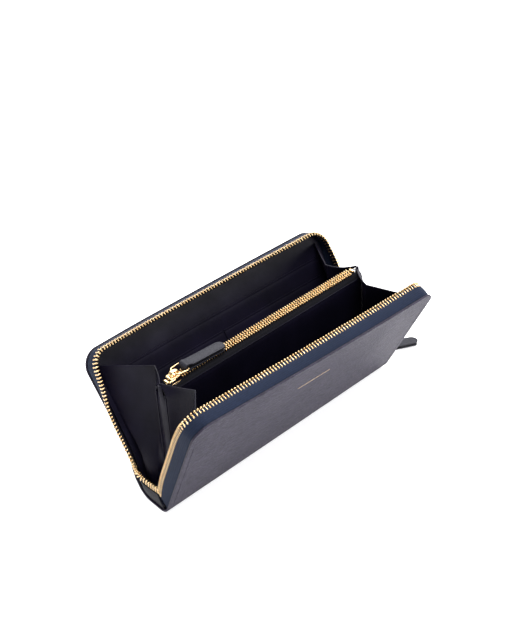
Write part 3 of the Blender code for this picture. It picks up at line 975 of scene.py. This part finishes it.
def barFrom(name, start, section, steps):
    # A bar drawn out of a small rectangle, one extrusion for each step
    clearSelection()
    bpy.ops.mesh.primitive_plane_add(size=1.0)
    made = bpy.context.active_object
    made.name = name
    for vertex in made.data.vertices:
        vertex.co = Vector(start) + Vector((vertex.co.x * section[0], vertex.co.y * section[1], 0))
    pick(made)
    bpy.ops.object.mode_set(mode="EDIT")
    bpy.ops.mesh.select_mode(type="FACE")
    bpy.ops.mesh.select_all(action="SELECT")
    for step in steps:
        bpy.ops.mesh.extrude_region_move(TRANSFORM_OT_translate={"value": step})
    bpy.ops.object.mode_set(mode="OBJECT")
    faceOut(made)
    return made


def unplaced(*spot):
    return Vector(spot) / mm


def makeSlider(name, turned, node, body):
    half, clear, plate, wide = slider["half"], slider["clear"], slider["plate"], slider["wide"]

    def shoulders(x, y, z):
        pull = 1 - 0.30 * ramp(x, half - 3.2, half) - 0.2 * ramp(-x, half - 2.0, half)
        crown = 0.25 * (1 - (y / wide) ** 2) * (1 if z > 0 else -1)
        return Vector((x, y * pull, z + crown))

    parts = []
    for key, low, high in (("Top", clear, clear + plate), ("Under", -clear - plate, -clear)):
        block = softBox(name + key, (-half, -wide, low), (half, wide, high), unplaced, 0.45)
        pick(block)
        bpy.ops.object.mode_set(mode="EDIT")
        bpy.ops.mesh.select_all(action="SELECT")
        bpy.ops.mesh.subdivide(number_cuts=2)
        bpy.ops.object.mode_set(mode="OBJECT")
        for vertex in block.data.vertices:
            vertex.co = shoulders(*vertex.co)
        parts.append(block)
    neck = softBox(name + "Neck", (half - 3.4, -0.8, -clear - 0.3), (half - 0.5, 0.8, clear + 0.3),
                   unplaced, 0.3)
    parts.append(neck)
    top = clear + plate
    rise = [(0, 0, 1.3), (0.15, 0, 0.7), (0.5, 0, 0.75), (0.9, 0, 0.42), (1.2, 0, 0.08)]
    bridge = barFrom(name + "Bridge", (-2.75, 0, top - 0.4), (0.9, 2.2),
                     rise + [(x, 0, -z) for x, _, z in rise[::-1]])
    edge = bridge.modifiers.new("edges", "BEVEL")
    edge.width = 0.22
    edge.segments = 2
    edge.limit_method = "ANGLE"
    edge.angle_limit = radians(60)
    bakeModifiers(bridge)
    parts.append(bridge)
    made = joinAll(name, parts)
    smooth(made, 50)
    placed(made, turned)
    finish(made, paleGold, body, [node])


def makeRing(name, turned, node, body):
    # A round wire drawn to a long loop with full corners, wider at the tab than at the bridge
    clearSelection()
    bpy.ops.mesh.primitive_torus_add(major_segments=56, minor_segments=12, major_radius=ring["torus"],
                                     minor_radius=slider["wire"])
    made = bpy.context.active_object
    halfX, halfY = ring["length"] / 2, ring["width"] / 2 - slider["wire"]
    for vertex in made.data.vertices:
        angle = atan2(vertex.co.y, vertex.co.x)
        off = sqrt(vertex.co.x ** 2 + vertex.co.y ** 2) - ring["torus"]
        c, s = cos(angle), sin(angle)
        x = halfX * (abs(c) ** ring["squareness"]) * (1 if c > 0 else -1)
        y = halfY * (abs(s) ** ring["squareness"]) * (1 if s > 0 else -1)
        normal = Vector((abs(x / halfX) ** 3 * (1 if x > 0 else -1) / halfX,
                         abs(y / halfY) ** 3 * (1 if y > 0 else -1) / halfY, 0)).normalized()
        narrow = mix(ring["narrow"], 1.0, ramp(x, -halfX, halfX))
        spot = Vector((x + halfX, y * narrow, 0)) + normal * off
        vertex.co = Vector((spot.x, spot.y, vertex.co.z))
    made.name = name
    made.data.name = name
    placed(made, turned)
    faceOut(made)
    smooth(made, 70)
    finish(made, paleGold, body, [node])


def makeTab(name, turned, node, body):
    # One strip folded round the ring's bar, its two layers stitched together along the edge
    layer, loop, start, tip = tab["layer"], tab["loop"], tab["joined"], tab["length"]
    face, radius = layer + tab["gap"], tab["width"] / 2

    def halfWidth(x):
        if x > tip - radius:
            return sqrt(max(0.02, radius ** 2 - (x - tip + radius) ** 2))
        return mix(tab["neck"] / 2, radius, ramp(x, 0.8, start))

    def outerLine(p):
        # p runs from the tip along the top to the loop, round it, and back along the underside
        if p <= 1:
            return mix(tip, start, p), face
        if p >= 2:
            return mix(start, tip, p - 2), -face
        t = p - 1
        angle = radians(mix(58, 302, ramp(t, 0.18, 0.82)))
        reach = loop + layer * 0.55
        joinX, joinZ = reach * cos(angle), reach * sin(angle)
        if t <= 0.18:
            return mix(start, joinX, t / 0.18), mix(face, joinZ, ramp(t, 0, 0.18))
        if t >= 0.82:
            return mix(joinX, start, (t - 0.82) / 0.18), mix(joinZ, -face, ramp(t, 0.82, 1.0))
        return joinX, joinZ

    def place(c, p):
        x, z = outerLine(p)
        half = halfWidth(x)
        groove = tab["groove"] if abs(abs(c) - tab["grooveAt"]) < 0.01 and 3 < x < tip - 1.2 else 0.0
        z = z - groove * (1 if z > 0 else -1)
        return Vector((x, c * half, z)) / mm

    nearTip = [0, 0.004, 0.014, 0.03, 0.055, 0.085, 0.12]
    rows = nearTip + spread(0.2, 1.0, 8)
    rows = rows + spread(1.0, 2.0, 22)[1:-1] + [3 - r for r in rows[::-1]]
    columns = [-1, -0.94, -0.8, -0.74, -0.68, -0.4, 0, 0.4, 0.68, 0.74, 0.8, 0.94, 1]
    made = gridPiece(name, columns, rows, place, flip=True)
    wall = made.modifiers.new("thickness", "SOLIDIFY")
    wall.thickness = layer
    wall.offset = -1
    edge = made.modifiers.new("edges", "BEVEL")
    edge.width = 0.14
    edge.segments = 2
    edge.limit_method = "ANGLE"
    edge.angle_limit = radians(50)
    bakeModifiers(made)
    smooth(made, 45)
    placed(made, turned)
    faceOut(made)
    finish(made, tabLeather, body, [node])


def pullSet(label, sliderFrame, pullAngle, tabAngle, aside, swing):
    pivot = (sliderFrame @ Matrix.Translation((0, 0, slider["pivot"]))
             @ Matrix.Rotation(radians(swing), 4, "X") @ Matrix.Rotation(radians(pullAngle), 4, "Y")
             @ Matrix.Translation((0, aside, 0)))
    far = pivot @ Matrix.Translation((ring["length"], 0, 0)) @ Matrix.Rotation(radians(tabAngle), 4, "Y")
    makeSlider(f"{label}Slider", sliderFrame, f"{label}_slider", f"{label}_slider")
    makeRing(f"{label}Ring", pivot, f"{label}_pull_ring", f"{label}_ring")
    makeTab(f"{label}Tab", far, f"{label}_pull_tab", f"{label}_tab")


pullSet("coin", coinFrame, 2.0, 1.2, 0.0, 0.0)
pullSet("main", mainFrame, -40.0, -37.5, -1.8, 12.0)
print("sliders and pulls ready")


# End stops of the main zip, and the leather tabs over the ends of its tape.

zipEnd = {"x": 93.6, "half": 8.5}


def makeStops():
    for side in way:
        sign = way[side]
        left = softBox(f"{side}StopLeft", (-0.75, -0.8, -2.2), (0.75, 0.8, 0.6),
                       lambda x, y, z: meeting + Vector((x, y + sign * 0.75, z - 1.2)), 0.35)
        finish(left, paleGold, "spine", [f"{side}_stop_left"])
        right = softBox(f"{side}StopRight", (-1.1, -0.7, -1.2), (1.1, 0.7, 1.2),
                        lambda x, y, z: Vector((slider["mainX"] + x, 0.3 + sign * 0.85 + y, 7.6 + z)), 0.35)
        finish(right, paleGold, "spine", [f"{side}_stop_right"])
    for column, sign in (("left", -1), ("right", 1)):
        def place(x, y, z):
            return Vector((x, y, z + 0.9 * (y / zipEnd["half"]) ** 2))

        x, half = sign * zipEnd["x"], zipEnd["half"]
        made = softBox(f"zipEnd{column.title()}", (x - 0.6, -half, 2.35), (x + 0.6, half, 4.2), place, 0.3)
        finish(made, darkLeatherAndShade, "spine", [f"zip_end_{column}"])


makeStops()
for spare in (toothModel, stitchModel):
    bpy.data.objects.remove(spare)
print("stops ready")


# A plain foil rule near the middle of the front cover.

rule = {"half": 13.0, "height": 0.45, "v": 66.0, "proud": -0.02, "thickness": 0.06}


def makeRule():
    columns = spread(-rule["half"], rule["half"], 26)
    rows = [rule["v"] - rule["height"] / 2, rule["v"] + rule["height"] / 2]
    made = gridPiece("foilRule", columns, rows, lambda u, v: coverPoint("front", u, rule["proud"], v))
    thicken(made, rule["thickness"])
    finish(made, paleGold, "front_cover")


makeRule()


# Floor, light and camera.

studio = {"az": 0.745004, "el": 0.663360, "roll": -0.018402, "distance": 768.562, "focus": 1212.182,
          "aside": -6.573, "up": 73.062, "frameHeight": 624, "sensor": 24.0,
          "floorSize": 8.0, "floorGlow": 0.72, "worldStrength": 0.42}


def makeFloor():
    clearSelection()
    bpy.ops.mesh.primitive_plane_add(size=studio["floorSize"], location=(0, 0, -0.0002))
    floorPlane = bpy.context.active_object
    floorPlane.name = "studioFloor"
    made, tree, shader = shaderFor("studioPaper", (0.92, 0.92, 0.92), 0.9)
    shader.inputs["Emission Color"].default_value = (1.0, 1.0, 1.0, 1.0)
    shader.inputs["Emission Strength"].default_value = studio["floorGlow"]
    place = addNode(tree, "ShaderNodeTexCoord").outputs["Object"]
    raised(tree, shader, noise(tree, place, 900.0, 2.0), 0.03, 0.0001)
    floorPlane.data.materials.append(made)


def areaLight(name, place, aim, size, power, tint=(1, 1, 1)):
    light = bpy.data.lights.new(name, "AREA")
    light.shape = "RECTANGLE"
    light.size, light.size_y = size
    light.energy = power
    light.color = tint
    lamp = bpy.data.objects.new(name, light)
    lamp.location = place
    lamp.rotation_euler = (Vector(aim) - Vector(place)).to_track_quat("-Z", "Y").to_euler()
    bpy.context.scene.collection.objects.link(lamp)


def makeLight():
    world = bpy.data.worlds.new("studioWorld")
    bpy.context.scene.world = world
    world.use_nodes = True
    world.node_tree.nodes["Background"].inputs["Color"].default_value = (1, 1, 1, 1)
    world.node_tree.nodes["Background"].inputs["Strength"].default_value = studio["worldStrength"]
    areaLight("overheadLight", (0.05, -0.10, 1.2), (0, 0, 0), (0.7, 0.5), 13.0)
    areaLight("rearLight", (0.55, 0.60, 0.80), (0, 0, 0.05), (1.3, 0.6), 16.0)
    areaLight("frontLight", (0.5, -1.2, 0.5), (0, 0, 0.04), (0.9, 0.5), 7.0)


def makeCamera():
    az, el, roll = studio["az"], studio["el"], studio["roll"]
    ahead = Vector((sin(az) * cos(el), cos(az) * cos(el), -sin(el)))
    right = Vector((cos(az), -sin(az), 0))
    up = right.cross(ahead)
    rightTurned = right * cos(roll) + up * sin(roll)
    upTurned = up * cos(roll) - right * sin(roll)
    lens = bpy.data.cameras.new("studioCamera")
    lens.sensor_fit = "VERTICAL"
    lens.sensor_height = studio["sensor"]
    lens.lens = studio["focus"] * studio["sensor"] / studio["frameHeight"]
    lens.clip_start = 0.01
    camera = bpy.data.objects.new("studioCamera", lens)
    turned = Matrix((rightTurned, upTurned, -ahead)).transposed().to_4x4()
    turned.translation = (rightTurned * studio["aside"] + upTurned * studio["up"]
                          - ahead * studio["distance"]) * mm
    camera.matrix_world = turned
    bpy.context.scene.collection.objects.link(camera)
    bpy.context.scene.camera = camera


makeFloor()
makeLight()
makeCamera()
bpy.context.scene.view_settings.view_transform = "Standard"
print("studio ready")
